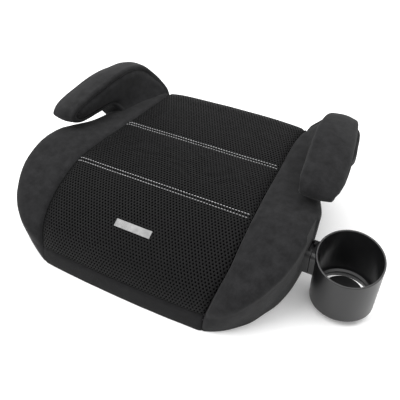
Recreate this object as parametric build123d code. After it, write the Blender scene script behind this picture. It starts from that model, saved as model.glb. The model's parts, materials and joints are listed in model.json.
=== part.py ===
from build123d import *
import math
import os

# Backless booster seat.  Millimetres, +Z up, the child faces -Y, +X is the child's left.
# The origin is on the floor under the seat's centre line.

# ---- driving dimensions ------------------------------------------------------------------
SEAT_TOP = 109.0            # height of the flat part of the seat
FRONT_SEAM_Z = 28.0         # mesh panel ends here, plain front band below it
BACK_Y = 166.0              # mesh panel's back edge
COVER_BOTTOM = 1.0          # the cover stops just above the floor
SHELL_BOTTOM = 3.0          # lower rim of the moulded shell
COVER_T = 3.4               # fabric laminated on thin foam
FOAM_T = 14.0               # comfort foam under the cover
WALL = 3.0                  # moulded wall thickness
RIB = 2.6                   # rib thickness
GAP = 0.3                   # play between stacked layers

# planform of the body at the floor and at the top edge: (x, y) for the +X half
FLOOR_OUTLINE = [(0, -190), (60, -189), (110, -187), (148, -177), (172, -156), (189, -122),
                 (203, -80), (207, -30), (206, 5), (199, 35), (192, 65), (187, 100), (180, 128),
                 (168, 152), (140, 166), (80, 172), (0, 173)]
TOP_OUTLINE = [(0, -186), (60, -186), (116, -185), (158, -178), (183, -162), (202, -132),
               (214, -90), (216.5, -40), (211, 0), (199, 26), (192, 52), (190, 85), (189, 122),
               (182, 150), (162, 168), (120, 174), (0, 176)]
TOP_OUTLINE_Z = 112.0

# side profile of the waterfall front: (y, z)
WATERFALL = [(-52, SEAT_TOP), (-86, 102), (-112, 91.5), (-140, 75.5), (-166, 56), (-182, FRONT_SEAM_Z)]
FRONT_SLOPE = 8.0 / 28.0     # the front band leans out towards the floor

# seam between the mesh panel and the side covers: (x, y)
SEAM = [(131, -200), (132, -180), (138, -166), (142, -138), (142, -100), (140.5, -65), (136, 4),
        (132, 49), (127, 110), (126.5, 144), (128, 176)]
FRONT_SEAM_X = 130.0

# armrests: top outline (y, z) at x = ARM_IN, which leans outwards; level underside (y, z);
# and the plan outline (x, y)
ARM_TOP = [(176, 84), (175, 118), (169, 136), (157, 150), (140, 161), (110, 168.5), (80, 169.5),
           (45, 164), (10, 158.5), (-12, 152), (-24, 140), (-28, 116)]
ARM_UNDER = [(-34, 150), (-26, 139), (-18, 130), (-4, 126), (18, 124.5), (45, 127), (65, 126),
             (75, 116), (79, 84)]
ARM_PLAN_INNER = [(166, 190), (165.5, 135), (166, 85), (171, 58), (176, 25), (179, 0), (183, -16)]
ARM_PLAN_OUTER = [(213, -22), (226, -12), (231.5, 5), (231, 30), (227.5, 55), (223, 85),
                  (217, 120), (209, 155), (200, 190)]
ARM_IN = 167.0
ARM_LEAN = -0.24            # drop per millimetre outwards
ARM_SPLIT_X = (186.0, 212.0)
ARM_FOAM_T = 6.0
FLARE_X = 188.0              # the arm's root leaves the seat's wall here, at height FLARE_Z
FLARE_Z = 84.0
FLARE_SLOPE = 0.95
CORNER_REACH = 232.6         # same for the seat's rear corner, measured along its diagonal
CORNER_TURN = 48.65
FOOT_X = (148.0, 179.0)     # foot of the arm frame on the shell's deck
STEM_X = (170.0, 179.0)
STEM_Y = (90.0, 146.0)
ARM_SCREW_R = 2.5
ARM_SCREW_X = (154.0, 166.0)
ARM_SCREW_Y = (99.0, 137.0)

# cup holder and its slide-in socket on the +X side
CUP_X = 271.0
CUP_Y = -54.0
CUP_TOP = 83.0               # rim height on the cup's axis
RIM_NORMAL = (0.047, -0.2, 1.0)    # the rim is cut at a slant, lower at the front
CUP_BOTTOM = 8.0
CUP_FLOOR_Z = 21.5
CUP_R_TOP = 43.8
CUP_R_BOTTOM = 42.2
CUP_WALL = 2.6
CUP_FLOOR_SLOT_R = (26.5, 34.5)
PLATE_HALF = 18.0           # half width of both mating plates
PLATE_Z = (44.0, 80.0)
SOCKET_BACK = 210.5         # flat pad on the shell that the socket is screwed to
SOCKET_FRONT = 224.0
SOCKET_LIP = 2.6
PAD_T = 10.0                # thickness of the shell's pad behind the socket
SOCKET_SCREW_Y = (-13.6, 13.6)
SOCKET_SCREW_Z = 62.5
TONGUE_T = 3.0
TONGUE_HALF = 10.0
NECK_HALF = 5.0
SLIDE_PLAY = 0.4
TONGUE_BOTTOM = 50.0

# loose facts of the small parts
FOOT_R = 12.0
FOOT_POINTS = [(138, -118), (140, 118)]
LONG_RIB_X = (-92.0, 0.0, 92.0)
CROSS_RIB_Y = (-86.0, 58.0)
CENTRE_BOSS_R = 11.0
HEM_WIDTH = 13.0
STITCH_Y = ((43.6, 50.1), (-71.0, -64.5))
STITCH_HALF = (131.0, 139.0)
TAG_SIZE = (56.0, 11.0, 0.8)
TAG_Y = -139.0
TAG_X = 0.0

WIDE = 300.0                # larger than the seat, for cutting solids


# ---- outlines ----------------------------------------------------------------------------
def inset(points, amount):
    """Move an open run of points to its left by amount, square to the run."""
    moved = []
    for i, (u, v) in enumerate(points):
        before = points[max(i - 1, 0)]
        after = points[min(i + 1, len(points) - 1)]
        du, dv = after[0] - before[0], after[1] - before[1]
        length = math.hypot(du, dv)
        moved.append((u - dv / length * amount, v + du / length * amount))
    return moved


def planform(points, amount, z):
    """Closed face of the body's outline at height z, moved inwards by amount."""
    half = inset(points, amount)
    half[0] = (0, points[0][1] + amount)
    half[-1] = (0, points[-1][1] - amount)
    right = Spline(*[(x, y, z) for x, y in half], tangents=[(1, 0, 0), (-1, 0, 0)])
    left = right.mirror(Plane.YZ)
    return make_face([right, left])


def side_walls(amount, bottom):
    """Body with leaning walls, inset by amount, from bottom to above the seat."""
    foot = planform(FLOOR_OUTLINE, amount, 0)
    rim = planform(TOP_OUTLINE, amount, TOP_OUTLINE_Z)
    body = loft([foot, rim], ruled=True)
    return body & Pos(0, 0, bottom + 100) * Box(2 * WIDE, 2 * WIDE, 200)


def seat_profile(drop):
    """Long bar whose section is the seat's side profile, lowered by drop."""
    fall = inset(WATERFALL, drop)
    fall[0] = (WATERFALL[0][0], SEAT_TOP - drop)
    back = TOP_OUTLINE[-1][1] + 20
    last = fall[-1]
    foot = (last[0] - FRONT_SLOPE * (last[1] + 40), -40)
    curve = Spline(*[(0, y, z) for y, z in fall], tangents=[(0, -1, 0), (0, -0.25, -1)])
    edges = [Line((0, back, -40), (0, back, SEAT_TOP - drop)),
             Line((0, back, SEAT_TOP - drop), (0, fall[0][0], SEAT_TOP - drop)),
             curve,
             Line((0, last[0], last[1]), (0, foot[0], foot[1])),
             Line((0, foot[0], foot[1]), (0, back, -40))]
    return extrude(make_face(edges), WIDE, dir=(1, 0, 0), both=True)


def body_solid(wall_inset, drop, bottom):
    return side_walls(wall_inset, bottom) & seat_profile(drop)


def seam_block(play):
    """Everything between the two long seams, narrowed by play on each side."""
    right = Spline(*[(x - play, y, -10) for x, y in SEAM])
    left = right.mirror(Plane.YZ)
    front = Line(right @ 0, left @ 0)
    back = Line(right @ 1, left @ 1)
    return extrude(make_face([right, back, left, front]), 200, dir=(0, 0, 1))


def slab(x_range, y_range, z_range):
    """Axis-aligned box from its limits."""
    lo = [r[0] for r in (x_range, y_range, z_range)]
    hi = [r[1] for r in (x_range, y_range, z_range)]
    middle = [(a + b) / 2 for a, b in zip(lo, hi)]
    return Pos(*middle) * Box(*[b - a for a, b in zip(lo, hi)])


def post(x, y, z_range, radius):
    """Upright cylinder."""
    height = z_range[1] - z_range[0]
    return Pos(x, y, (z_range[0] + z_range[1]) / 2) * Cylinder(radius, height)


def mirrored(shape):
    return shape.mirror(Plane.YZ)


# ---- armrests ----------------------------------------------------------------------------
def arm_column(plan_inset):
    """Upright column with the armrest's plan outline, moved inwards."""
    inner = inset(ARM_PLAN_INNER, plan_inset)
    outer = inset(ARM_PLAN_OUTER, plan_inset)
    plan = Spline(*[(x, y, 0) for x, y in inner + outer])
    back = Line(plan @ 1, plan @ 0)
    return extrude(make_face([plan, back]), 240, dir=(0, 0, 1))


def flare_block(reach, lift):
    """Room above a face that leans outwards from the seat's wall, reach away along +X."""
    z = FLARE_Z + lift
    near, far = -50, reach + 60
    keep = Polyline((near, 0, z - (reach - near) * FLARE_SLOPE), (far, 0, z + 60 * FLARE_SLOPE),
                    (far, 0, 260), (near, 0, 260), close=True)
    return extrude(make_face([keep]), WIDE, dir=(0, 1, 0), both=True)


def arm_bar(side_inset, plan_inset):
    """Armrest bar from its top, underside and plan outlines, all moved inwards."""
    top = inset(ARM_TOP, side_inset)
    x0, x1 = ARM_IN - 25, ARM_IN + 75
    lift = (x0 - ARM_IN) * ARM_LEAN
    ridge = Spline(*[(x0, y, z + lift) for y, z in top])
    lean = Vector(x1 - x0, 0, (x1 - x0) * ARM_LEAN)
    above = extrude(make_face([ridge, Line(ridge @ 1, ridge @ 0)]), lean.length, dir=lean.normalized())
    belly = Spline(*[(0, y, z) for y, z in inset(ARM_UNDER, side_inset)])
    back, high, low = 200, 220, (belly @ 1).Z
    rim = Polyline((belly @ 1), (0, back, low), (0, back, high), (0, (belly @ 0).Y, high), (belly @ 0))
    below = extrude(make_face([belly, rim]), WIDE, dir=(1, 0, 0))
    flared = flare_block(FLARE_X, side_inset) & (Rot(0, 0, CORNER_TURN) * flare_block(CORNER_REACH, side_inset))
    return above & below & arm_column(plan_inset) & flared


def arm_stem(play):
    """The stem that carries the arm frame down through the foam to the deck."""
    deck = SEAT_TOP - COVER_T - FOAM_T - GAP
    return slab((STEM_X[0] - play, STEM_X[1] + play), (STEM_Y[0] - play, STEM_Y[1] + play), (deck, 124))


def arm_foot(play):
    deck = SEAT_TOP - COVER_T - FOAM_T - GAP
    return slab((FOOT_X[0] - play, FOOT_X[1] + play), (STEM_Y[0] - play, STEM_Y[1] + play), (deck, deck + 6 + play))


def arm_frame(seat_body):
    """Hollow moulded arm, open to the outside, on a foot that stands on the deck."""
    skin = COVER_T + ARM_FOAM_T
    bar = arm_bar(skin, COVER_T + 0.2) - seat_body
    pocket = arm_bar(skin + WALL, COVER_T + 0.2 + WALL)
    pocket += Pos(20, 0, 0) * pocket
    pocket &= slab((ARM_IN, WIDE), (-WIDE, WIDE), (SEAT_TOP + 2 * WALL, 200))
    webs = [slab((ARM_IN, WIDE), (y, y + RIB), (100, 175)) & bar for y in (30, 86, 128)]
    deck = SEAT_TOP - COVER_T - FOAM_T - GAP
    frame = (bar - pocket) + webs + arm_foot(0) + arm_stem(0)
    frame -= slab((STEM_X[0] + WALL, STEM_X[1] + 1), (STEM_Y[0] + WALL, STEM_Y[1] - WALL), (deck + 6, 100))
    holes = [post(x, y, (deck - 1, deck + 7), ARM_SCREW_R + 0.1)
             for x in ARM_SCREW_X for y in ARM_SCREW_Y]
    return frame - holes


def arm_screws():
    """Four pan-head screws driven up through the deck into the foot."""
    deck = SEAT_TOP - COVER_T - FOAM_T - GAP
    screws = []
    for x in ARM_SCREW_X:
        for y in ARM_SCREW_Y:
            shank = post(x, y, (deck - WALL, deck + 6), ARM_SCREW_R)
            head = post(x, y, (deck - WALL - 3, deck - WALL), 4.6)
            slot = slab((x - 3, x + 3), (y - 0.6, y + 0.6), (deck - WALL - 3.1, deck - WALL - 1.6))
            screws.append(shank + head - slot)
    return screws


def arm_parts():
    """Frame, foam sleeve and the three sewn cover pieces of the +X arm."""
    seat_body = body_solid(-GAP, -GAP, -5)
    room = arm_stem(0.5)
    full = arm_bar(0, 0) - seat_body
    within = arm_column(COVER_T)
    ring = full - within
    tip = ring & slab(ARM_SPLIT_X, (-WIDE, WIDE), (0, 200))
    inner = ring & slab((0, ARM_SPLIT_X[0]), (-WIDE, WIDE), (0, 200))
    outer = ring & slab((ARM_SPLIT_X[1], WIDE), (-WIDE, WIDE), (0, 200))
    top = (full & within) - arm_bar(COVER_T, -5)
    sleeve = arm_bar(COVER_T, COVER_T) - arm_bar(COVER_T + ARM_FOAM_T, -5) - seat_body
    return {
        "arm_frame": arm_frame(seat_body),
        "arm_foam": sleeve - room,
        "arm_top_cover": top + tip - room,
        "arm_inner_gusset": inner - room,
        "arm_outer_gusset": outer,
    }


# ---- cup holder --------------------------------------------------------------------------
def tongue_block(half, x_range, bottom):
    return slab(x_range, (CUP_Y - half, CUP_Y + half), (bottom, PLATE_Z[1] + 1))


def cup_socket():
    """Block with an undercut slot, open at the top and closed at the bottom."""
    block = slab((SOCKET_BACK, SOCKET_FRONT), (CUP_Y - PLATE_HALF, CUP_Y + PLATE_HALF), PLATE_Z)
    edges = block.edges().filter_by(Axis.X)
    block = fillet(edges, 7)
    lip = SOCKET_FRONT - SOCKET_LIP
    cavity = tongue_block(TONGUE_HALF + SLIDE_PLAY, (lip - TONGUE_T - 2 * SLIDE_PLAY, lip),
                          TONGUE_BOTTOM)
    mouth = tongue_block(NECK_HALF + SLIDE_PLAY, (lip - 1, SOCKET_FRONT + 1), TONGUE_BOTTOM)
    block -= cavity
    block -= mouth
    holes = [screw_axis(side) * Pos(0, 0, 2.6) * Cylinder(1.6, 5.4) for side in SOCKET_SCREW_Y]
    return block - holes


def screw_axis(side):
    """Place on the shell's pad where a socket screw passes, looking outwards."""
    return Pos(SOCKET_BACK, CUP_Y + side, SOCKET_SCREW_Z) * Rot(0, 90, 0)


def socket_screws():
    """Two screws through the shell's pad into the socket's back."""
    screws = []
    for side in SOCKET_SCREW_Y:
        shank = screw_axis(side) * Pos(0, 0, (5 - PAD_T) / 2) * Cylinder(1.55, PAD_T + 5)
        head = screw_axis(side) * Pos(0, 0, -PAD_T - 1.5) * Cylinder(3.2, 3)
        screws.append(shank + head)
    return screws


def cup_holder():
    """Tapered cup with a slanted rim, a raised floor with a drain slot, and a T-shaped tongue."""
    r_in_top = CUP_R_TOP - CUP_WALL
    r_in_bottom = CUP_R_BOTTOM - CUP_WALL
    high = CUP_TOP + 14
    outer = [(0, CUP_FLOOR_Z - CUP_WALL), (r_in_bottom - 4, CUP_FLOOR_Z - CUP_WALL),
             (r_in_bottom - 1, CUP_BOTTOM + 1), (r_in_bottom, CUP_BOTTOM),
             (CUP_R_BOTTOM - 1.5, CUP_BOTTOM), (CUP_R_BOTTOM, CUP_BOTTOM + 2), (CUP_R_TOP, high)]
    inner = [(r_in_top, high), (r_in_bottom, CUP_FLOOR_Z + 5), (r_in_bottom - 1.5, CUP_FLOOR_Z + 1.5),
             (r_in_bottom - 5, CUP_FLOOR_Z), (0, CUP_FLOOR_Z)]
    section = Polyline(*[(r, 0, z) for r, z in outer + inner], close=True)
    cup = revolve(make_face([section]), Axis.Z)
    slant = Plane(origin=(0, 0, CUP_TOP), z_dir=RIM_NORMAL)
    cup -= slant * Pos(0, 0, 50) * Box(200, 200, 100)
    rim = cup.edges().filter_by(lambda e: e.center().Z > CUP_TOP - 12 and e.length > 200)
    cup = Pos(CUP_X, CUP_Y, 0) * fillet(rim, 0.9)
    bore = Pos(CUP_X, CUP_Y, (high + CUP_BOTTOM) / 2) * Cone(
        r_in_bottom - 0.2, r_in_top - 0.2, high - CUP_BOTTOM)
    plate = slab((SOCKET_FRONT + 0.8, 238), (CUP_Y - PLATE_HALF, CUP_Y + PLATE_HALF), PLATE_Z)
    plate = fillet(plate.edges().filter_by(Axis.X), 7)
    lip = SOCKET_FRONT - SOCKET_LIP
    top = PLATE_Z[1] - 4
    neck = slab((lip - SLIDE_PLAY - 1, SOCKET_FRONT + 2),
                (CUP_Y - NECK_HALF, CUP_Y + NECK_HALF), (TONGUE_BOTTOM + 0.05, top))
    flange = slab((lip - SLIDE_PLAY - TONGUE_T, lip - SLIDE_PLAY),
                  (CUP_Y - TONGUE_HALF, CUP_Y + TONGUE_HALF), (TONGUE_BOTTOM + 0.05, top))
    cup += (plate - bore)
    cup += neck
    cup += flange
    slot_outer, slot_inner = CUP_FLOOR_SLOT_R[1], CUP_FLOOR_SLOT_R[0]
    drain = post(CUP_X, CUP_Y, (CUP_FLOOR_Z - 4, CUP_FLOOR_Z + 1), slot_outer)
    drain -= post(CUP_X, CUP_Y, (CUP_FLOOR_Z - 5, CUP_FLOOR_Z + 2), slot_inner)
    wedge = Pos(CUP_X, CUP_Y, 0) * Rot(0, 0, 62) * slab((0, 60), (-60, 60), (0, 30))
    return cup - (drain & wedge)


# ---- build -------------------------------------------------------------------------------
def shell_and_ribs(parts):
    """Moulded seat shell: deck, skirt, bosses; and the ribs that stand under its deck."""
    skin = COVER_T + GAP
    drop = COVER_T + FOAM_T + GAP
    outer = body_solid(skin, drop, SHELL_BOTTOM)
    hollow = body_solid(skin + WALL, drop + WALL, -5)
    shell = outer - hollow
    shell = shell + slab((SOCKET_BACK - PAD_T, SOCKET_BACK),
                         (CUP_Y - PLATE_HALF, CUP_Y + PLATE_HALF), PLATE_Z)
    boss_zone = body_solid(skin + 1, drop + 1, SHELL_BOTTOM)
    bosses = [post(sx * x, y, (SHELL_BOTTOM, 120), FOOT_R + 1.5) & boss_zone
              for x, y in FOOT_POINTS for sx in (-1, 1)]
    cores = [post(x * sx, y, (-1, 80), FOOT_R - 1.5) for x, y in FOOT_POINTS for sx in (-1, 1)]
    shell = shell + bosses
    deck = SEAT_TOP - drop
    cutters = [post(sx * x, y, (deck - WALL - 1, deck + 1), ARM_SCREW_R + 0.1)
               for x in ARM_SCREW_X for y in ARM_SCREW_Y for sx in (-1, 1)]
    cutters += [screw_axis(side) * Pos(0, 0, -PAD_T / 2) * Cylinder(1.6, PAD_T + 2)
                for side in SOCKET_SCREW_Y]
    shell = shell - cores - cutters
    front_cut, side_cut = CROSS_RIB_Y[0], LONG_RIB_X[2]
    height = (-10, 200)
    parts["shell_front"] = shell & slab((-WIDE, WIDE), (-WIDE, front_cut), height)
    rear = shell & slab((-WIDE, WIDE), (front_cut, WIDE), height)
    parts["seat_shell"] = rear & slab((-side_cut, side_cut), (-WIDE, WIDE), height)
    parts["shell_side_right"] = rear & slab((side_cut, WIDE), (-WIDE, WIDE), height)
    parts["shell_side_left"] = rear & slab((-WIDE, -side_cut), (-WIDE, WIDE), height)

    floor_boss = post(0, 0, (0, 20), CENTRE_BOSS_R)
    long_ribs = [slab((x - RIB / 2, x + RIB / 2), (-WIDE, WIDE), (SHELL_BOTTOM, 200)) & hollow
                 for x in LONG_RIB_X]
    long_ribs[1] = long_ribs[1] + floor_boss
    parts["shell_long_ribs"] = long_ribs
    edges = [-WIDE] + [x + side * RIB / 2 for x in LONG_RIB_X for side in (-1, 1)] + [WIDE]
    cross = []
    for y in CROSS_RIB_Y:
        for x0, x1 in zip(edges[0::2], edges[1::2]):
            cross.append(slab((x0, x1), (y - RIB / 2, y + RIB / 2), (SHELL_BOTTOM, 200)) & hollow)
    parts["shell_cross_ribs"] = cross

    feet = []
    for x, y in FOOT_POINTS:
        for sx in (-1, 1):
            pad = post(sx * x, y, (0, SHELL_BOTTOM), FOOT_R)
            stem = post(sx * x, y, (SHELL_BOTTOM, SHELL_BOTTOM + 8), FOOT_R - 1.5)
            feet.append(pad + stem)
    parts["rubber_feet"] = feet


def woven_tag():
    """Blank label sewn flat on the falling front of the seat."""
    fall = Spline(*[(0, y, z) for y, z in WATERFALL], tangents=[(0, -1, 0), (0, -0.25, -1)])
    steps = [i / 200 for i in range(201)]
    at = min(steps, key=lambda t: abs((fall @ t).Y - TAG_Y))
    spot, along = fall @ at, fall % at
    tilt = math.degrees(math.atan2(-along.Z, -along.Y))
    width, height, thick = TAG_SIZE
    return Pos(TAG_X, spot.Y, spot.Z) * Rot(tilt, 0, 0) * Pos(0, 0, thick / 2 + 0.15) * Box(width, height, thick)


def build():
    parts = {}
    outer = body_solid(0, 0, COVER_BOTTOM)
    lining = body_solid(COVER_T, COVER_T, -1)
    cover = outer - lining
    middle = seam_block(0.1)
    wide_middle = seam_block(-0.1)
    socket_room = slab((180, 240), (CUP_Y - PLATE_HALF - GAP, CUP_Y + PLATE_HALF + GAP),
                       (PLATE_Z[0] - GAP, PLATE_Z[1] + GAP))
    right_half = slab((0, WIDE), (-WIDE, WIDE), (0, 200))

    # cover panels
    front_zone = slab((-FRONT_SEAM_X, FRONT_SEAM_X), (-WIDE, -60), (0, FRONT_SEAM_Z - 0.2))
    parts["center_panel"] = cover & middle & slab((-WIDE, WIDE), (-WIDE, BACK_Y), (FRONT_SEAM_Z, 200))
    parts["front_band"] = cover & front_zone
    parts["rear_band"] = cover & middle & slab((-WIDE, WIDE), (BACK_Y + 0.2, WIDE), (0, 200))
    side = (cover & right_half) - wide_middle - slab((0, FRONT_SEAM_X + 0.2), (-WIDE, -60), (0, FRONT_SEAM_Z))
    side = side - arm_stem(0.5)
    parts["side_cover_left"] = mirrored(side)
    parts["side_cover_right"] = side - socket_room

    # foam under the cover: one centre pad and two bolsters
    foam_top = body_solid(COVER_T + GAP, COVER_T + GAP, 24)
    foam_under = body_solid(-20, COVER_T + FOAM_T, -5)
    foam = foam_top - foam_under
    foam = foam & slab((-WIDE, WIDE), (-WIDE, 170), (24, 200))
    parts["seat_foam"] = foam & seam_block(0.3)
    bolster = (foam & right_half) - seam_block(-0.3) - arm_stem(0.5) - arm_foot(0.5) - socket_room
    parts["bolster_foam_right"] = bolster
    parts["bolster_foam_left"] = mirrored(bolster)

    shell_and_ribs(parts)

    for name, shape in arm_parts().items():
        parts[f"{name}_right"] = shape
        parts[f"{name}_left"] = mirrored(shape)
    screws = arm_screws()
    parts["arm_screws_right"] = screws
    parts["arm_screws_left"] = [mirrored(s) for s in screws]

    # cup holder
    parts["cup_socket"] = cup_socket()
    parts["socket_screws"] = socket_screws()
    parts["cup_holder"] = cup_holder()

    # trim
    rim = body_solid(COVER_T + 0.1, COVER_T + 0.1, COVER_BOTTOM)
    rim &= slab((-WIDE, WIDE), (-WIDE, WIDE), (0, SHELL_BOTTOM - 0.2))
    parts["elastic_hem"] = rim - body_solid(COVER_T + HEM_WIDTH, COVER_T + HEM_WIDTH, -2)
    rows = []
    for pair, half in zip(STITCH_Y, STITCH_HALF):
        for y in pair:
            rows.append(slab((-half, half), (y - 0.5, y + 0.5), (SEAT_TOP, SEAT_TOP + 0.6)))
    parts["stitch_rows"] = rows
    parts["woven_tag"] = woven_tag()
    return parts


def write(name, shape):
    """One STEP per sub-part; a group of separate solids goes out as one compound."""
    if isinstance(shape, list):
        solids = [s for piece in shape for s in piece.solids()]
    else:
        solids = shape.solids()
    whole = solids[0] if len(solids) == 1 else Compound(children=solids)
    export_step(whole, f"parts/{name}.step")
    print(name, len(solids), [round(s.volume) for s in solids][:12])


if __name__ == "__main__":
    os.makedirs("parts", exist_ok=True)
    for part_name, part_shape in build().items():
        write(part_name, part_shape)
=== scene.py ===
"""Looks of the backless booster seat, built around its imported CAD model."""
import json
import math

import bmesh
import bpy
import numpy as np
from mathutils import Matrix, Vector, noise


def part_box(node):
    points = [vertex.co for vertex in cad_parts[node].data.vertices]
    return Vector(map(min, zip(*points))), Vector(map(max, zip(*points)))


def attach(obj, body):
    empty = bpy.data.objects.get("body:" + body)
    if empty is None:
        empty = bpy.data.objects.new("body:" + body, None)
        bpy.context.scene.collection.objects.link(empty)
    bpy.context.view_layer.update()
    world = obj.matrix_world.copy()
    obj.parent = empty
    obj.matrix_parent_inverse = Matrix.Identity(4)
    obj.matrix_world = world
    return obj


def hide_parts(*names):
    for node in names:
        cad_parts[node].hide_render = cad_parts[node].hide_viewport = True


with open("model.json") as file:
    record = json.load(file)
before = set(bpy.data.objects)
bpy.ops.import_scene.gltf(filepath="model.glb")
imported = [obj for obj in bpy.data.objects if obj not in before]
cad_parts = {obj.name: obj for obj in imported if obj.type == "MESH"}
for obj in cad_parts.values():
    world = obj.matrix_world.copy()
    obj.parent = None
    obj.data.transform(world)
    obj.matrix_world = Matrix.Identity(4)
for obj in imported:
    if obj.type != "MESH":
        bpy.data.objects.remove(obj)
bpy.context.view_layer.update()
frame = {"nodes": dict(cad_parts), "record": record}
MM = 0.001

# ---- places read from the frame, in millimetres -------------------------------------------


def corners(node):
    """Lowest and highest corner of a CAD node, in millimetres."""
    return [np.array(c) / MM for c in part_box(node)]


FLOOR = 0.0
SEAT_MIDDLE = (0, 0, 40)    # a point inside the seat, which its cover faces away from

# Stations of the side panel from the back edge to the front seam, for the +X half:
# (t, long seam x y z, outer crease x y z, foot x y)
STATIONS = [
    (0.00, (128, 171.5, 103.5), (128, 171.5, 103.5), (128, 170)),
    (0.04, (127.5, 163, 105.5), (152, 169, 104), (150, 165)),
    (0.08, (127, 155, 106.5), (173, 161, 104), (167, 155)),
    (0.13, (126.5, 144, 107), (185, 145, 104), (176, 139)),
    (0.20, (126.7, 122, 108.3), (189, 121, 104), (182, 118)),
    (0.28, (129, 88, 109), (189.5, 88, 103), (187, 90)),
    (0.36, (132, 56, 109), (193, 55, 104.5), (194, 58)),
    (0.43, (134.5, 25, 109.6), (203, 25, 105.5), (202, 28)),
    (0.49, (136.5, -3, 110), (215, -4, 111), (206.8, -2)),
    (0.54, (138, -24, 109.6), (220, -23, 115), (207.5, -24)),
    (0.60, (140.5, -53, 108.5), (221, -53, 117.5), (206.5, -58)),
    (0.66, (141.5, -75, 105.5), (220.5, -80, 113.5), (203, -84)),
    (0.71, (142, -96, 98.5), (218, -103, 106.5), (198, -104)),
    (0.76, (142.3, -114, 91.0), (213, -122, 98), (190, -122)),
    (0.81, (142.3, -132, 81.0), (205, -140, 88.5), (181, -142)),
    (0.86, (141, -147, 72.0), (197, -154, 80), (170.5, -156)),
    (0.90, (139, -159, 63.5), (186, -166, 70.5), (159, -168)),
    (0.94, (136.5, -170, 53), (169, -177.5, 56), (149, -176)),
    (0.975, (132.8, -179, 38), (147, -183, 41), (138, -182.5)),
    (1.00, (130, -183, 28), (130, -183, 28), (129.5, -186)),
]
socket_low, socket_high = corners("cup_socket")
SOCKET_Y = (socket_low[1] + socket_high[1]) / 2
SOCKET_LIMIT_X = socket_high[0] - 7.8       # the cup's tongue slides up outside this
SOCKET_HALF, SOCKET_BLEND, SOCKET_SWELL = 16, 14, 7     # where that limit lets go, by how much
CREASE_ON_TOP, CREASE_ON_WALL = 17.0, 15.0  # how far the crease's rounding reaches to each side
HEM_TURN = ((3.0, 0.8), (9.0, 1.4))         # the cover's edge turned under: inward and up
SUEDE_THICK, BAND_THICK = 1.6, 1.4
PANEL_CROWN, WALL_SWELL = 2.2, 1.6
PANEL_LENGTH = 560          # of a side panel along its seam
FRONT_SEAM_Y, FRONT_SEAM_Z, FRONT_HALF = -183, 28.6, 130    # top edge of the front band
REAR_SEAM_Y, REAR_SEAM_Z, REAR_HALF = 172, 103.5, 128       # top edge of the rear band
SEAM_GROOVE = 2.4           # depth of a sewn seam
SEAM_REACH = 3.0            # how far from the seam the fabric dips
CHANNELS = ((50.0, 43.5), (-64.5, -71.0))   # the two double rows of stitching, as y
FRONT_BOW = 4.0
BACK_BOW = 3.0
BACK_CROWN = 4.5


# ---- small geometry helpers ----------------------------------------------------------------
def smooth_step(u):
    """0 to 1 with level ends, as u goes from 0 to 1."""
    u = np.clip(u, 0, 1)
    return u * u * (3 - 2 * u)


def through(ts, values, t):
    """Smooth curve through values at stations ts, read at t (cubic Hermite)."""
    ts = np.asarray(ts, float)
    values = np.asarray(values, float)
    slopes = np.gradient(values, ts, axis=0)
    t = np.clip(np.asarray(t, float), ts[0], ts[-1])
    i = np.clip(np.searchsorted(ts, t, side="right") - 1, 0, len(ts) - 2)
    h = ts[i + 1] - ts[i]
    u = (t - ts[i]) / h
    if values.ndim > 1:
        u, h = u[..., None], h[..., None]
    a, b = values[i], values[i + 1]
    ma, mb = slopes[i] * h, slopes[i + 1] * h
    return ((2 * u**3 - 3 * u**2 + 1) * a + (u**3 - 2 * u**2 + u) * ma
            + (-2 * u**3 + 3 * u**2) * b + (u**3 - u**2) * mb)


def by_length(points, count):
    """The same polyline with count points, evenly spaced along it."""
    points = np.asarray(points, float)
    steps = np.linalg.norm(np.diff(points, axis=0), axis=1)
    s = np.concatenate([[0], np.cumsum(steps)])
    want = np.linspace(0, s[-1], count)
    return np.stack([np.interp(want, s, points[:, k]) for k in range(points.shape[1])], -1)


def smooth_path(points, count):
    """Evenly spaced points on a smooth curve through the given ones."""
    points = np.asarray(points, float)
    steps = np.linalg.norm(np.diff(points, axis=0), axis=1)
    s = np.concatenate([[0], np.cumsum(steps)])
    dense = through(s, points, np.linspace(0, s[-1], count * 6))
    return by_length(dense, count)


def grid_normals(p):
    """Unit normals of a grid of points (n, m, 3)."""
    du = np.gradient(p, axis=0)
    dv = np.gradient(p, axis=1)
    n = np.cross(du, dv)
    length = np.linalg.norm(n, axis=-1, keepdims=True)
    return n / np.maximum(length, 1e-9)


def ripple(p, size, seed):
    """Slow noise in -1..1 at each point, for the unevenness of sewn fabric."""
    flat = p.reshape(-1, 3)
    values = [noise.noise(Vector((float(x) / size + seed, float(y) / size, float(z) / size)))
              for x, y, z in flat]
    return np.array(values).reshape(p.shape[:-1])


def make_object(name, verts, faces, material, mirror=False):
    """Mesh object from millimetre points; mirror puts it on the other side of the seat."""
    verts = np.asarray(verts, float) * MM
    if mirror:
        verts = verts * [-1, 1, 1]
        faces = [tuple(reversed(f)) for f in faces]
    mesh = bpy.data.meshes.new(name)
    mesh.from_pydata([tuple(v) for v in verts], [], faces)
    mesh.validate()
    work = bmesh.new()
    work.from_mesh(mesh)
    bmesh.ops.remove_doubles(work, verts=work.verts, dist=0.02 * MM)
    bmesh.ops.dissolve_degenerate(work, edges=work.edges, dist=0.01 * MM)
    work.to_mesh(mesh)
    work.free()
    for polygon in mesh.polygons:
        polygon.use_smooth = True
    mesh.materials.append(material)
    obj = bpy.data.objects.new(name, mesh)
    bpy.context.scene.collection.objects.link(obj)
    return obj


def grid_faces(n, m, wrap=False, start=0):
    """Quads of a grid with n rows of m points; wrap closes each row into a ring."""
    faces = []
    for i in range(n - 1):
        for j in range(m if wrap else m - 1):
            k = (j + 1) % m
            faces.append((start + i * m + j, start + i * m + k,
                          start + (i + 1) * m + k, start + (i + 1) * m + j))
    return faces


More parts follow.
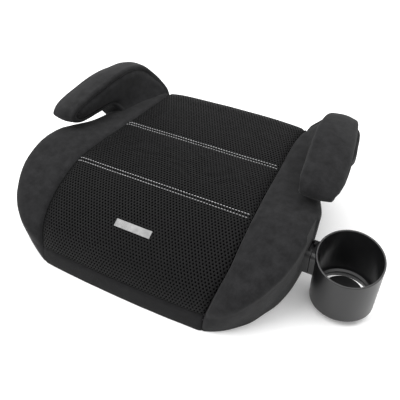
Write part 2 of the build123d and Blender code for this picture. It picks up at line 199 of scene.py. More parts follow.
def grid_object(name, p, material, mirror=False, inside=SEAT_MIDDLE, thick=0.0):
    """Object from a grid of points; its faces look away from the point inside."""
    n, m = p.shape[:2]
    faces = grid_faces(n, m)
    around = np.cross(p[1:, :-1] - p[:-1, :-1], p[:-1, 1:] - p[:-1, :-1])
    away = p[:-1, :-1] - np.array(inside, float)
    if np.sum(around * away) > 0:
        faces = [tuple(reversed(f)) for f in faces]
    obj = make_object(name, p.reshape(-1, 3), faces, material, mirror)
    if thick:
        solid = obj.modifiers.new("thickness", "SOLIDIFY")
        solid.thickness = thick * MM
        solid.offset = -1
    return obj


# ---- materials -------------------------------------------------------------------------------
def new_material(name, color, rough, **sockets):
    """Principled material; sockets are named with _ for a space."""
    material = bpy.data.materials.new(name)
    material.use_nodes = True
    shader = material.node_tree.nodes["Principled BSDF"]
    shader.inputs["Base Color"].default_value = (*color, 1)
    shader.inputs["Roughness"].default_value = rough
    for key, value in sockets.items():
        shader.inputs[key.replace("_", " ")].default_value = value
    return material


def add_node(material, kind, **settings):
    """Shader node whose settings are input sockets or, failing that, properties."""
    node = material.node_tree.nodes.new(kind)
    for key, value in settings.items():
        if key in node.inputs:
            node.inputs[key].default_value = value
        else:
            setattr(node, key, value)
    return node


def link(material, a, out, b, into):
    material.node_tree.links.new(a.outputs[out], b.inputs[into])


def noise_node(material, coords, scale, detail=4.0, rough=0.55):
    node = add_node(material, "ShaderNodeTexNoise", Scale=scale, Detail=detail, Roughness=rough)
    link(material, coords, "Object", node, "Vector")
    return node


def ramp_node(material, source, low, high, dark, light):
    """Colour ramp from dark at low to light at high."""
    node = add_node(material, "ShaderNodeValToRGB")
    node.color_ramp.elements[0].position = low
    node.color_ramp.elements[1].position = high
    node.color_ramp.elements[0].color = (*dark, 1)
    node.color_ramp.elements[1].color = (*light, 1)
    link(material, source, 0, node, "Fac")
    return node


def bump_node(material, height, out, strength, distance, before=None):
    """Bump from a height output, on top of an earlier bump if one is given."""
    node = add_node(material, "ShaderNodeBump", Strength=strength, Distance=distance)
    link(material, height, out, node, "Height")
    if before is not None:
        link(material, before, "Normal", node, "Normal")
    return node


def suede(name, base, lift):
    """Brushed microfibre: clouded nap, fine fuzz and a soft sheen."""
    dark = tuple(c * (1 - lift) for c in base)
    light = tuple(c * (1 + lift) for c in base)
    material = new_material(name, base, 0.93, Sheen_Weight=0.06, Sheen_Roughness=0.5,
                            Specular_IOR_Level=0.12)
    shader = material.node_tree.nodes["Principled BSDF"]
    coords = add_node(material, "ShaderNodeTexCoord")
    clouds = noise_node(material, coords, scale=70.0, detail=8.0, rough=0.72)
    tone = ramp_node(material, clouds, 0.34, 0.68, dark, light)
    fuzz = noise_node(material, coords, scale=1500.0, detail=3.0, rough=0.7)
    mix = add_node(material, "ShaderNodeMixRGB", blend_type="MULTIPLY")
    mix.inputs[0].default_value = 0.45
    grain = ramp_node(material, fuzz, 0.25, 0.75, (0.55,) * 3, (1.25,) * 3)
    link(material, tone, 0, mix, 1)
    link(material, grain, 0, mix, 2)
    link(material, mix, 0, shader, "Base Color")
    fine = bump_node(material, fuzz, 0, strength=0.35, distance=0.3 * MM)
    nap = noise_node(material, coords, scale=240.0, detail=4.0, rough=0.6)
    rough = bump_node(material, nap, 0, strength=0.25, distance=0.6 * MM, before=fine)
    link(material, rough, "Normal", shader, "Normal")
    return material


def weave(name, base, scale, strength=0.5, rough=0.85, gloss=0.15):
    """Plain woven cloth: two crossed sets of fine ribs."""
    material = new_material(name, base, rough, Specular_IOR_Level=gloss)
    shader = material.node_tree.nodes["Principled BSDF"]
    coords = add_node(material, "ShaderNodeTexCoord")
    warp = add_node(material, "ShaderNodeTexWave", Scale=scale, Distortion=0.6)
    warp.bands_direction = "X"
    weft = add_node(material, "ShaderNodeTexWave", Scale=scale, Distortion=0.6)
    weft.bands_direction = "Z"
    link(material, coords, "Object", warp, "Vector")
    link(material, coords, "Object", weft, "Vector")
    both = add_node(material, "ShaderNodeMath", operation="MAXIMUM")
    link(material, warp, "Fac", both, 0)
    link(material, weft, "Fac", both, 1)
    mottle = noise_node(material, coords, scale=90.0, detail=5.0)
    dark = tuple(c * 0.8 for c in base)
    light = tuple(c * 1.25 for c in base)
    tone = ramp_node(material, mottle, 0.3, 0.7, dark, light)
    link(material, tone, 0, shader, "Base Color")
    bump = bump_node(material, both, 0, strength, distance=0.3 * MM)
    link(material, bump, "Normal", shader, "Normal")
    return material


def moulded(name, base, rough, grain=900.0, strength=0.12):
    """Moulded plastic with a fine spark-eroded texture."""
    material = new_material(name, base, rough, Specular_IOR_Level=0.45)
    shader = material.node_tree.nodes["Principled BSDF"]
    coords = add_node(material, "ShaderNodeTexCoord")
    fine = noise_node(material, coords, scale=grain, detail=3.0, rough=0.6)
    broad = noise_node(material, coords, scale=22.0, detail=3.0, rough=0.5)
    dark = tuple(c * 0.9 for c in base)
    light = tuple(c * 1.1 for c in base)
    tone = ramp_node(material, broad, 0.35, 0.65, dark, light)
    link(material, tone, 0, shader, "Base Color")
    smoother, rougher = rough * 0.88, min(1, rough * 1.12)
    scuff = ramp_node(material, broad, 0.3, 0.75, (smoother,) * 3, (rougher,) * 3)
    link(material, scuff, 0, shader, "Roughness")
    bump = bump_node(material, fine, 0, strength, distance=0.2 * MM)
    link(material, bump, "Normal", shader, "Normal")
    return material


SUEDE = suede("suede_charcoal", (0.0145, 0.0145, 0.0152), 0.38)
STRAND = weave("mesh_strand", (0.0036, 0.0036, 0.0038), 900.0, 0.6, rough=0.5, gloss=0.16)
# Backing under the net: a real layer of the same black fabric, coloured darker than the strands as
# painted shade in the net's holes.
MESH_BACK_SHADE = weave("mesh_backing_painted_shade", (0.0012, 0.0012, 0.0013), 500.0, 0.5, rough=0.95, gloss=0.02)
PLAIN = weave("plain_black_cloth", (0.0095, 0.0095, 0.01), 700.0)
CUP = moulded("cup_plastic_satin", (0.0085, 0.0085, 0.009), 0.32)
SHELL = moulded("shell_plastic", (0.01, 0.01, 0.0105), 0.5)
THREAD = weave("contrast_thread", (0.36, 0.36, 0.365), 1600.0, 0.4)
LABEL = weave("label_tape", (0.3, 0.3, 0.3), 1300.0, 0.5)
RUBBER = moulded("foot_rubber", (0.012, 0.012, 0.012), 0.8)
ELASTIC = weave("elastic_tape", (0.014, 0.014, 0.015), 900.0, 0.7)
STEEL = new_material("screw_zinc", (0.5, 0.5, 0.52), 0.3, Metallic=1.0)


# ---- seat cover --------------------------------------------------------------------------
TS = [s[0] for s in STATIONS]


def seam_at(t):
    """Long seam between the mesh and the side panel."""
    return through(TS, [s[1] for s in STATIONS], t)


def crease_at(t):
    """Outer crease of the side panel, before it is rounded."""
    return through(TS, [s[2] for s in STATIONS], t)


def foot_at(t):
    """Where the side panel meets the floor."""
    return through(TS, [(*s[3], FLOOR) for s in STATIONS], t)


def dip(distance):
    """How deep the fabric is pulled in at a distance from a seam."""
    return SEAM_GROOVE * np.exp(-(np.asarray(distance) / SEAM_REACH) ** 2)


def side_rib(seam, crease, foot, top, turn, wall):
    """One line of the side panel: in from the seam, round the crease, down and turned under."""
    to_seam, to_foot = seam - crease, foot - crease
    width, drop = np.linalg.norm(to_seam), np.linalg.norm(to_foot)
    on_top = min(CREASE_ON_TOP, 0.46 * width)
    on_wall = min(CREASE_ON_WALL, 0.40 * drop) * (0.25 + 0.75 * min(1.0, width / 30.0))
    start = crease + to_seam / max(width, 1e-6) * on_top
    end = crease + to_foot / drop * on_wall
    flat = [seam + (start - seam) * k / top for k in range(top)]
    bend = [start * (1 - u) ** 2 + 2 * crease * u * (1 - u) + end * u**2
            for u in np.linspace(0, 1, turn)]
    down = [end + (foot - end) * k / wall for k in range(1, wall + 1)]
    inward = np.array([-foot[0], -foot[1], 0.0])
    inward = inward / np.linalg.norm(inward)
    under = [foot + inward * reach + [0, 0, lift] for reach, lift in HEM_TURN]
    return np.array(flat + bend + down + under)


def side_panel(name, mirror):
    """Suede side: from the mesh seam over the rounded crease and down to the floor."""
    rows, top, turn, wall = 260, 30, 12, 26
    ts = np.linspace(0, 1, rows)
    seam, crease, foot = seam_at(ts), crease_at(ts), foot_at(ts)
    p = np.array([side_rib(*lines, top, turn, wall) for lines in zip(seam, crease, foot)])
    normals = grid_normals(p)
    outward = np.sum(normals * (p - np.array(SEAT_MIDDLE, float)), axis=-1, keepdims=True)
    normals = np.where(outward < 0, -normals, normals)
    across = np.linalg.norm(p - seam[:, None, :], axis=-1)
    width = np.linalg.norm(crease - seam, axis=-1)[:, None]
    part = np.clip(across / np.maximum(width, 1.0), 0, 1)
    fade = np.ones(p.shape[1])
    fade[top + turn:] = np.linspace(1, 0, p.shape[1] - top - turn)
    swell = np.zeros(p.shape[1])
    swell[top + turn:top + turn + wall] = np.sin(np.pi * np.linspace(0, 1, wall))
    crown = PANEL_CROWN * np.sin(np.pi * part) * np.clip(width / 40, 0, 1) * fade
    uneven = 0.5 * ripple(p, 34, 3.0) * np.clip(across / 12, 0, 1) * fade
    height = crown - dip(across) + uneven
    height = height + WALL_SWELL * swell[None, :]
    if not mirror:
        past = (np.abs(p[..., 1] - SOCKET_Y) - SOCKET_HALF) / SOCKET_BLEND
        room = SOCKET_LIMIT_X + SOCKET_SWELL * smooth_step(past)
        height = height - np.clip(p[..., 0] + height - room, 0, None)
    ends = np.minimum(ts, 1 - ts)[:, None] * PANEL_LENGTH
    height = height - 0.9 * dip(ends) * (fade[None, :] > 0)
    p = p + normals * height[..., None]
    if not mirror:
        p[..., 0] = np.minimum(p[..., 0], room)
    return grid_object(name, p, SUEDE, mirror, thick=SUEDE_THICK)


def panel_surface(along, across):
    """Point on the centre panel. along: 0 at the back edge, 1 at the front seam; across: -1..1."""
    edge = seam_at(along)
    q = np.asarray(across, float)
    x = edge[..., 0] * q
    bow = np.where(along > 0.6, -FRONT_BOW * ((along - 0.6) / 0.4) ** 2,
                   BACK_BOW * np.clip(1 - along / 0.12, 0, 1) ** 2)
    y = edge[..., 1] + bow * (1 - q**2)
    z = edge[..., 2] + BACK_CROWN * np.clip(1 - along / 0.35, 0, 1) ** 1.5 * (1 - q**4)
    return np.stack([x, y, z], -1)


PILLOW_ENDS = (174.0, sum(CHANNELS[0]) / 2, sum(CHANNELS[1]) / 2, -186.0)   # as y
PILLOW_TALL = (3.6, 4.2, 5.0)


def panel_height(p, edge_x):
    """Puff of the mesh panel above its seams: three pillows between the stitched channels."""
    y = p[..., 1]
    puff = np.zeros_like(y)
    for hi, lo, tall in zip(PILLOW_ENDS, PILLOW_ENDS[1:], PILLOW_TALL):
        u = np.clip((hi - y) / (hi - lo), 0, 1)
        inside = (y <= hi) & (y > lo)
        puff = np.where(inside, tall * (1 - np.abs(2 * u - 1) ** 5), puff)
    from_seam = edge_x - np.abs(p[..., 0])
    side = 1 - np.exp(-(np.clip(from_seam, 0, None) / 9.0) ** 1.3)
    height = puff * side - dip(from_seam)
    for pair in CHANNELS:
        for row in pair:
            height = height - 0.9 * np.exp(-((y - row) / 1.8) ** 2) * side
        middle = sum(pair) / 2
        height = height - 0.5 * np.exp(-((y - middle) / 5.0) ** 2) * side
    return height


PANEL_ROWS, PANEL_COLS = 330, 150


def panel_points():
    """Dense surface of the whole centre panel, with its normals."""
    ts = np.linspace(0, 1, PANEL_ROWS)
    qs = np.linspace(-1, 1, PANEL_COLS)
    along, across = np.meshgrid(ts, qs, indexing="ij")
    p = panel_surface(along, across)
    normals = grid_normals(p)
    normals = np.where(normals[..., 2:3] < 0, -normals, normals)
    edge_x = seam_at(along)[..., 0]
    from_seam = np.clip((edge_x - np.abs(p[..., 0])) / 20, 0, 1)
    height = panel_height(p, edge_x) + 0.6 * ripple(p, 42, 11.0) * from_seam
    return p + normals * height[..., None], normals


NET_PITCH = 4.8             # between hole centres across the panel
NET_ROW = NET_PITCH * math.sqrt(3) / 2
NET_RING = 12               # points round one hole
NET_TOP = 0.55              # strand's crest above the panel's surface
NET_HOLE = ((1.42, 1.68, 0.42), (1.12, 1.36, -0.25))    # half width, half length, height


def net_centres(length, rows, edge):
    """Hole centres of the net as (x across, s along), in offset rows."""
    centres = []
    for r in range(int(length[-1] / NET_ROW) + 1):
        s = r * NET_ROW
        half = np.interp(np.interp(s, length, rows), rows, edge)
        shift = 0.5 * NET_PITCH if r % 2 else 0.0
        n = int(half / NET_PITCH) + 1
        for c in range(-n, n + 1):
            x = c * NET_PITCH + shift
            if abs(x) < half + 1.0:
                centres.append((x, s))
    return np.array(centres)


def hole_net(surface, normals):
    """Knitted face of the spacer mesh: a hexagonal net of strands with real holes."""
    middle = surface[:, PANEL_COLS // 2]
    steps = np.linalg.norm(np.diff(middle, axis=0), axis=1)
    length = np.concatenate([[0], np.cumsum(steps)])
    rows = np.arange(PANEL_ROWS)
    edge = np.abs(surface[:, -1, 0])

    def place(x, s, lift):
        """Surface point at x across and s along, raised by lift."""
        i = np.interp(np.clip(s, 0.4, length[-1] - 0.4), length, rows)
        half = np.interp(i, rows, edge)
        j = (np.clip(x / half, -0.998, 0.998) + 1) / 2 * (PANEL_COLS - 1)
        i0 = np.clip(i.astype(int), 0, PANEL_ROWS - 2)
        j0 = np.clip(j.astype(int), 0, PANEL_COLS - 2)
        u = (i - i0)[:, None]
        v = (j - j0)[:, None]

        def blend(grid):
            return ((grid[i0, j0] * (1 - v) + grid[i0, j0 + 1] * v) * (1 - u)
                    + (grid[i0 + 1, j0] * (1 - v) + grid[i0 + 1, j0 + 1] * v) * u)
        return blend(surface) + blend(normals) * lift

    centres = net_centres(length, rows, edge)
    corner = NET_PITCH / math.sqrt(3)
    turns = np.arange(NET_RING) * 2 * math.pi / NET_RING + math.pi / 2
    reach = np.where(np.arange(NET_RING) % 2 == 0, corner, corner * math.cos(math.pi / 6))
    layers = []
    for wide, long, lift in ((reach, reach, NET_TOP), *NET_HOLE):
        x = (centres[:, :1] + (wide * np.cos(turns))[None, :]).ravel()
        s = (centres[:, 1:] + (long * np.sin(turns))[None, :]).ravel()
        layers.append(place(x, s, lift))
    size = len(centres) * NET_RING
    faces = []
    for base in range(0, size, NET_RING):
        for k in range(NET_RING):
            a, b = base + k, base + (k + 1) % NET_RING
            faces.append((a, b, size + b, size + a))
            faces.append((size + a, size + b, 2 * size + b, 2 * size + a))
    return np.concatenate(layers), faces


def centre_panel():
    """Spacer mesh: the backing, coloured darker than the net as painted shade in its holes, and the
    net over it, with the surface they follow.
    """
    surface, normals = panel_points()
    back = surface - normals * 0.75
    edge = np.clip((np.abs(surface[:, -1:, 0]) - np.abs(surface[..., 0])) / 5.0, 0, 1)[..., None]
    back = back + normals * 0.9 * (1 - edge)
    base = grid_object("mesh_panel_backing", back, MESH_BACK_SHADE, thick=2.0)
    verts, faces = hole_net(surface, normals)
    net = make_object("mesh_panel_net", verts, faces, STRAND)
    return base, net, surface, normals


STITCH_PITCH, STITCH_LENGTH, STITCH_RADIUS = 4.4, 3.3, 0.55
STITCH_RING, STITCH_RINGS = 6, 6


def one_stitch(ends, up, verts, faces):
    """A short arched thread between two points, added to verts and faces."""
    axis = (ends[1] - ends[0]) / np.linalg.norm(ends[1] - ends[0])
    side = np.cross(axis, up)
    side = side / np.linalg.norm(side)
    up = np.cross(side, axis)
    start = len(verts)
    for r in range(STITCH_RINGS):
        u = r / (STITCH_RINGS - 1)
        fat = STITCH_RADIUS * math.sqrt(max(0.0, 1 - (2 * u - 1) ** 4) + 0.04)
        arch = 0.35 * math.sin(math.pi * u) - 0.25
        centre = ends[0] + (ends[1] - ends[0]) * u + up * arch
        for q in range(STITCH_RING):
            ang = 2 * math.pi * q / STITCH_RING
            verts.append(centre + side * math.cos(ang) * fat * 1.15 + up * math.sin(ang) * fat)
    faces += grid_faces(STITCH_RINGS, STITCH_RING, wrap=True, start=start)
    last = start + (STITCH_RINGS - 1) * STITCH_RING
    faces.append(tuple(start + q for q in range(STITCH_RING)))
    faces.append(tuple(last + q for q in reversed(range(STITCH_RING))))


def stitch_rows(surface, normals):
    """Single thread stitches in two double rows, lying in the sewn channels."""
    verts, faces = [], []
    y_mid = surface[:, PANEL_COLS // 2, 1]
    for row in CHANNELS[0] + CHANNELS[1]:
        i = int(np.argmin(np.abs(y_mid - row)))
        line = surface[i] + normals[i] * STITCH_RADIUS
        s = np.concatenate([[0], np.cumsum(np.linalg.norm(np.diff(line, axis=0), axis=1))])
        for k in range(int((s[-1] - 3) / STITCH_PITCH)):
            middle = 2.5 + k * STITCH_PITCH
            ends = [np.array([np.interp(middle + d, s, line[:, a]) for a in range(3)])
                    for d in (-STITCH_LENGTH / 2, STITCH_LENGTH / 2)]
            one_stitch(ends, normals[i, PANEL_COLS // 2], verts, faces)
    return make_object("contrast_stitches", verts, faces, THREAD)


def turn_under(p, rows, inward):
    """Last two rows of a band: its edge turned under, along y by the sign of inward."""
    for k, (reach, lift) in enumerate(HEM_TURN):
        p[rows + k] = p[rows - 1] + [0, inward * reach, lift]


def front_band():
    """Plain cloth below the mesh, leaning out to the floor, its edge turned under."""
    cols, rows = 120, 22
    qs = np.linspace(-1, 1, cols)
    p = np.zeros((rows + len(HEM_TURN), cols, 3))
    for r in range(rows):
        v = r / (rows - 1)
        z = FRONT_SEAM_Z * (1 - v)
        half = FRONT_HALF - 0.5 * v
        bow = FRONT_BOW * (1 - np.abs(qs) ** 2.2)
        y = FRONT_SEAM_Y - 3.2 * v - bow - 1.6 * math.sin(math.pi * v) - 0.6
        p[r] = np.stack([qs * half, y, np.full(cols, z)], -1)
    body = p[:rows]
    from_top, from_side = FRONT_SEAM_Z - body[..., 2], FRONT_HALF - np.abs(body[..., 0])
    body[..., 1] += 0.9 * dip(from_top) + 0.8 * dip(from_side)
    body[..., 1] += 0.4 * ripple(body, 30, 5.0)
    turn_under(p, rows, 1)
    return grid_object("front_band_cloth", p, PLAIN, thick=BAND_THICK)


def rear_band():
    """Plain cloth down the back, from the panel's back edge to the floor."""
    cols, rows = 110, 34
    qs = np.linspace(-1, 1, cols)
    p = np.zeros((rows + len(HEM_TURN), cols, 3))
    for r in range(rows):
        v = r / (rows - 1)
        z = (REAR_SEAM_Z + BACK_CROWN * (1 - qs**4)) * (1 - v)
        bow = BACK_BOW * (1 - np.abs(qs) ** 2.2)
        y = REAR_SEAM_Y + 1.8 * math.sin(math.pi * min(1, v * 1.3)) - 1.6 * v + bow
        p[r] = np.stack([qs * REAR_HALF, y, z], -1)
    body = p[:rows]
    from_top, from_side = body[:1, :, 2] - body[..., 2], REAR_HALF - np.abs(body[..., 0])
    body[..., 1] -= 0.9 * dip(from_top) + 0.8 * dip(from_side)
    body[..., 1] += 0.5 * ripple(body, 36, 8.0)
    turn_under(p, rows, -1)
    return grid_object("rear_band_cloth", p, PLAIN, thick=BAND_THICK)


# ---- armrests --------------------------------------------------------------------------------
# Side view of the arm as (y, z): up its back, over the top, round the tip, back underneath and down
ARM_CREST = [
    (168, 70), (175, 92), (178.5, 108), (178, 122), (172, 139), (161, 152.5), (142, 163.5),
    (112, 171.5), (80, 172.5), (45, 167), (12, 161), (-5, 157), (-17, 151), (-23, 141),
    (-21, 130.5), (-10, 124), (12, 121.5), (35, 121.5), (56, 121.5), (67, 117.5), (73, 110),
    (72, 98), (71, 87), (70, 76)]
CREST_COUNT = 320
ARM_X_IN = ([-30, -16, 0, 25, 58, 85, 135, 180],            # y, x of the inner side
            [184, 180, 178, 175.5, 171, 167, 165.5, 166])
ARM_X_OUT = ([-30, -12, 5, 30, 55, 85, 120, 155, 180],      # y, x of the outer side
             [232, 233.5, 234, 232.5, 229.5, 225, 219, 212, 206])
REAR_X_IN = ([100, 112, 128, 142, 152],                     # z, x of the slope behind the arm
             [129, 135, 148, 160, 165.5])
REAR_FROM, REAR_LENGTH = 112, 50            # where along y that slope takes over
ROOT_X, ROOT_Z, ROOT_SLOPE = 189.0, 83.0, 0.95              # the arm grows out of the side wall
CORNER_REACH, CORNER_TURN = 234.0, math.radians(48.65)      # the same at the rear corner
ROOT_SOFT = 4.0             # rounding between those faces
ROOT_FILLET = 15.0
ROOT_TOP, ROOT_TALL = 128.0, 24             # the fillet fades out at this height
TIP_FROM, TIP_LENGTH = 8, 30                # the part of the arm that narrows to its tip
TIP_IN, TIP_BACK, TIP_LIP = 4, 3, 4.0       # how far its outer edge draws in, back and up
ARM_LEAN = 0.24             # fall of the arm's top towards its outer side
LIP_TOP, LIP_UNDER, LIP_Z = 9.5, 8.0, 128   # how far the strap wraps over the sides
EDGE_IN, EDGE_OUT = 7.0, 8.0                # rounding of the strap's two edges
ARM_MIDDLE = (198, 70, 140)
GUSSET_MIDDLE = (198, 80, 130)


def arm_out_x(y, z):
    """Outer side of the arm: its plan outline, narrowed where it grows out of the seat's wall."""
    rise = (z - ROOT_Z) / ROOT_SLOPE
    corner = (CORNER_REACH + rise - math.sin(CORNER_TURN) * y) / math.cos(CORNER_TURN)
    limits = [np.interp(y, *ARM_X_OUT), ROOT_X + rise, corner]
    return -ROOT_SOFT * np.logaddexp.reduce([-limit / ROOT_SOFT for limit in limits])


def near_root(z):
    """0 where the arm stands clear of the seat, 1 near its root."""
    return np.clip((ROOT_TOP - z) / ROOT_TALL, 0, 1.3)


def spread(p):
    """The points with a fillet added where the arm's inner side meets the seat."""
    behind = smooth_step((p[..., 1] - 60) / 20)
    inner = np.clip((p[..., 0] - 130) / 40, 0, 1) * np.clip((205 - p[..., 0]) / 30, 0, 1)
    moved = p.copy()
    moved[..., 0] -= ROOT_FILLET * near_root(p[..., 2])**2 * behind * inner
    return moved


def arm_section(width, depth_in, depth_out, r_in, r_out):
    """Strap's cross-section from inner seam to outer seam, as (across, below the crest)."""
    points = [(0, depth_in - u * (depth_in - r_in)) for u in np.linspace(0, 1, 5, endpoint=False)]
    for ang in np.linspace(0, math.pi / 2, 10):
        points.append((r_in * (1 - math.cos(ang)), r_in * (1 - math.sin(ang))))
    for u in np.linspace(0, 1, 18)[1:-1]:
        points.append((r_in + u * (width - r_in - r_out), -2.0 * math.sin(math.pi * u)))
    for ang in np.linspace(0, math.pi / 2, 10):
        points.append((width - r_out * (1 - math.sin(ang)), r_out * (1 - math.cos(ang))))
    points += [(width, r_out + u * (depth_out - r_out)) for u in np.linspace(0, 1, 5)[1:]]
    return points


def arm_strap(name, mirror):
    """Fabric strip over the top of the arm, round its tip and back underneath."""
    path = smooth_path(ARM_CREST, CREST_COUNT)
    tangent = np.gradient(path, axis=0)
    tangent /= np.linalg.norm(tangent, axis=1, keepdims=True)
    normal = np.stack([tangent[:, 1], -tangent[:, 0]], -1)
    on_top = np.clip((normal[:, 1] + 0.25) / 0.8, 0, 1)
    on_top = np.convolve(np.pad(on_top, 8, mode="edge"), np.ones(17) / 17, mode="valid")
    sections = []
    for i, (y, z) in enumerate(path):
        n = np.array([0, normal[i, 0], normal[i, 1]])
        rear = smooth_step((y - REAR_FROM) / REAR_LENGTH)
        x_in = np.interp(y, *ARM_X_IN) * (1 - rear) + np.interp(z, *REAR_X_IN) * rear
        x_out = float(arm_out_x(y, z))
        tip = np.clip((TIP_FROM - y) / TIP_LENGTH, 0, 1)
        a = np.array([x_in, y, z])
        fall = ARM_LEAN * on_top[i] * (min(x_out - x_in, 60)) * (1 - 0.75 * rear)
        b = np.array([x_out - TIP_IN * tip**2, y + TIP_BACK * tip, z - fall])
        across = b - a
        width = np.linalg.norm(across)
        across /= width
        depth = LIP_TOP if z > LIP_Z else LIP_UNDER
        lip = depth - TIP_LIP * tip
        section = arm_section(width, depth, lip, EDGE_IN, min(EDGE_OUT, lip - 0.5))
        sections.append([a + across * s - n * d for s, d in section])
    p = np.array(sections)
    normals = grid_normals(p)
    if np.sum(normals * (p - np.array(ARM_MIDDLE, float))) < 0:
        normals = -normals
    seam_in = np.linalg.norm(p - p[:, :1], axis=-1)
    seam_out = np.linalg.norm(p - p[:, -1:], axis=-1)
    height = -0.6 * dip(seam_in) - 0.6 * dip(seam_out) + 0.4 * ripple(p, 26, 17.0)
    p = p + normals * height[..., None]
    return grid_object(name, spread(p), SUEDE, mirror, inside=ARM_MIDDLE), p


def arm_gusset(name, edge, outer, mirror):
    """Side of the arm between the strap's seams: a puffed panel, ruled from top to underside."""
    nose = int(np.argmin(edge[:, 1]))
    cols, rows = 150, 34
    top = by_length(edge[:nose + 1][::-1], cols)
    low_edge = edge[nose:]
    on_stem = low_edge[:, 2] < 118
    under = int(np.argmin(np.abs(low_edge[:, 1] - 62) + on_stem * 99))
    share = int(cols * 0.62)
    low = np.concatenate([by_length(low_edge[:under + 1], share)[:-1],
                          by_length(low_edge[under:], cols - share + 1)])
    v = np.linspace(0, 1, rows)[None, :, None]
    p = low[:, None, :] * (1 - v) + top[:, None, :] * v
    to_top = np.linalg.norm(p - top[:, None, :], axis=-1)
    to_low = np.linalg.norm(p - low[:, None, :], axis=-1)
    near = np.minimum(to_top, to_low)
    span = np.linalg.norm(top - low, axis=-1)[:, None]
    tall = 4.0 * np.clip(span / 30, 0, 1)
    puff = tall * (1 - np.exp(-(near / 7.0) ** 1.4)) - 1.0 * np.exp(-(near / 2.4) ** 2)
    if outer:
        free = (1 - np.exp(-(near / 9.0) ** 2)) * smooth_step((p[..., 1] - 58) / 26)
        p[..., 0] += free * (arm_out_x(p[..., 1], p[..., 2]) - p[..., 0])
    sign = 1 if outer else -1
    behind = np.clip((p[..., 1] - 64) / 14, 0, 1)
    flatter = 1 - 0.7 * near_root(p[..., 2]) * behind
    p[..., 0] += sign * puff * flatter + sign * 0.4 * ripple(p, 24, 23.0)
    if not outer:
        p = spread(p)
    return grid_object(name, p, SUEDE, mirror, inside=GUSSET_MIDDLE)


def armrest(side, mirror):
    """The three fabric pieces of one arm."""
    strap, p = arm_strap(f"arm_strap_{side}", mirror)
    inner = arm_gusset(f"arm_inside_{side}", p[:, 0], False, mirror)
    outer = arm_gusset(f"arm_outside_{side}", p[:, -1], True, mirror)
    return strap, inner, outer


# ---- small sewn pieces -----------------------------------------------------------------------
def blank_label(surface, normals):
    """Small woven label with folded ends, sewn flat on the front of the mesh."""
    half_w, half_h = 28.0, 5.5
    cols, rows = 60, 14
    middle = PANEL_COLS // 2
    low, high = corners("woven_tag")
    i = int(np.argmin(np.abs(surface[:, middle, 1] - (low[1] + high[1]) / 2)))
    base, normal = surface[i, middle], normals[i, middle]
    down = surface[i + 4, middle] - surface[i - 4, middle]
    down = down / np.linalg.norm(down)
    p = np.zeros((cols, rows, 3))
    for c in range(cols):
        for r in range(rows):
            u, v = 2 * c / (cols - 1) - 1, 2 * r / (rows - 1) - 1
            lift = 1.25 + 0.25 * min(1, (half_w - abs(u) * half_w) / 1.5) + 0.2 * (1 - v * v)
            p[c, r] = base + np.array([u * half_w, 0, 0]) + down * v * half_h + normal * lift
    return grid_object("blank_label", p, LABEL, thick=0.7)


HEM_COUNT, HEM_WAVES = 600, 140
HEM_INSETS = (3.8, 6.5, 9.5, 12.5, 15.5)    # the tape's lines, in from the cover's foot


def elastic_hem():
    """Gathered elastic tape that pulls the cover in under the shell's rim."""
    right = foot_at(np.linspace(0, 1, 160))[:, :2]
    front = [(x, -186 - FRONT_BOW * (1 - (x / 129.5) ** 2)) for x in np.linspace(120, -120, 40)]
    back = [(x, 170 + BACK_BOW * (1 - (x / 128) ** 2)) for x in np.linspace(-120, 120, 40)]
    left = [(-x, y) for x, y in right[::-1]]
    outline = list(right) + front + left + back + [tuple(right[0])]
    loop = by_length(np.array(outline), HEM_COUNT)[:-1]
    tangent = np.roll(loop, -1, axis=0) - np.roll(loop, 1, axis=0)
    tangent /= np.linalg.norm(tangent, axis=1, keepdims=True)
    inward = np.stack([tangent[:, 1], -tangent[:, 0]], -1)
    if (inward[0] @ loop[0]) > 0:
        inward = -inward
    verts, faces = [], []
    n, m = len(loop), len(HEM_INSETS)
    for i in range(n):
        wave = math.sin(i * 2 * math.pi / HEM_COUNT * HEM_WAVES)
        for k, inset in enumerate(HEM_INSETS):
            pull = k / (m - 1)
            z = 1.9 + 0.55 * wave * (0.3 + pull)
            verts.append((*(loop[i] + inward[i] * (inset + 0.5 * wave * pull)), z))
        j = (i + 1) % n
        for k in range(m - 1):
            faces.append((i * m + k, j * m + k, j * m + k + 1, i * m + k + 1))
    obj = make_object("gathered_hem", verts, faces, ELASTIC)
    solid = obj.modifiers.new("thickness", "SOLIDIFY")
    solid.thickness = 0.8 * MM
    solid.offset = 0
    return obj


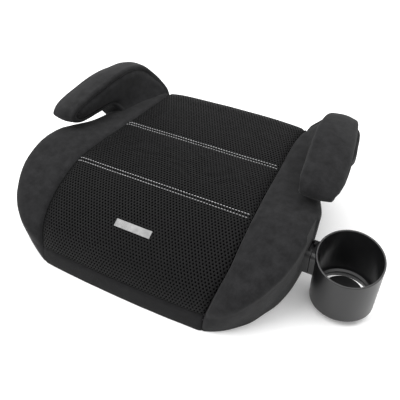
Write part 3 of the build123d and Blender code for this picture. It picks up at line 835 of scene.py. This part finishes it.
# ---- assemble --------------------------------------------------------------------------------
backing, net, surface, normals = centre_panel()
stitches = stitch_rows(surface, normals)
label = blank_label(surface, normals)
band_front, band_rear = front_band(), rear_band()
hem = elastic_hem()
for piece in (backing, net, stitches, label, band_front, band_rear, hem):
    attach(piece, "seat")
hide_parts("center_panel", "seat_foam")
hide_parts("stitch_rows")
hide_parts("woven_tag")
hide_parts("front_band")
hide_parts("rear_band")
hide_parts("elastic_hem")
for side, mirror in (("right", False), ("left", True)):
    panel = side_panel(f"side_panel_{side}", mirror)
    strap, inner, outer = armrest(side, mirror)
    for piece in (panel, strap, inner, outer):
        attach(piece, "seat")
    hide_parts(f"side_cover_{side}", f"bolster_foam_{side}")
    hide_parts(f"arm_top_cover_{side}", f"arm_foam_{side}")
    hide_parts(f"arm_inner_gusset_{side}")
    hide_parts(f"arm_outer_gusset_{side}")

FINISHES = {"shell_plastic": SHELL, "arm_plastic": SHELL, "socket_plastic": SHELL,
            "cup_plastic": CUP, "foot_rubber": RUBBER, "screw_steel": STEEL}
for part in frame["record"]["subparts"]:
    finish = FINISHES.get(part["material_slot"])
    if finish is not None:
        for holder in frame["nodes"][part["node"]].material_slots:
            holder.material = finish


# ---- stage -----------------------------------------------------------------------------------
def floor():
    """Plain pale floor, just below the feet."""
    bpy.ops.mesh.primitive_plane_add(size=12, location=(0, 0, -0.0005))
    plane = bpy.context.object
    plane.name = "pale_floor"
    material = new_material("pale_floor", (0.93, 0.93, 0.93), 0.9, Specular_IOR_Level=0.1,
                            Emission_Color=(1, 1, 1, 1), Emission_Strength=0.12)
    plane.data.materials.append(material)


def area_light(name, place, aim, size, power):
    """Square soft light at place, turned to aim."""
    data = bpy.data.lights.new(name, "AREA")
    data.energy = power
    data.size = size
    light = bpy.data.objects.new(name, data)
    light.location = place
    light.rotation_euler = (Vector(aim) - Vector(place)).to_track_quat("-Z", "Y").to_euler()
    bpy.context.scene.collection.objects.link(light)


def camera():
    """Camera at the front right, above the seat."""
    place, aim = Vector((0.3243, -0.5505, 0.5601)), Vector((0.03716, -0.01899, 0.060))
    data = bpy.data.cameras.new("camera")
    data.lens = 47.43
    data.sensor_width = 36.0
    obj = bpy.data.objects.new("camera", data)
    obj.location = place
    obj.rotation_euler = (aim - place).to_track_quat("-Z", "Y").to_euler()
    bpy.context.scene.collection.objects.link(obj)
    bpy.context.scene.camera = obj


floor()
camera()
area_light("key_softbox", (-0.7, -0.8, 1.7), (0, -0.05, 0.05), size=1.2, power=28)
area_light("top_softbox", (0.5, 0.7, 2.2), (0, 0, 0), size=2.4, power=42)
world = bpy.data.worlds.new("studio")
world.use_nodes = True
world.node_tree.nodes["Background"].inputs[0].default_value = (1, 1, 1, 1)
world.node_tree.nodes["Background"].inputs[1].default_value = 0.74
bpy.context.scene.world = world
bpy.context.scene.view_settings.view_transform = "Standard"
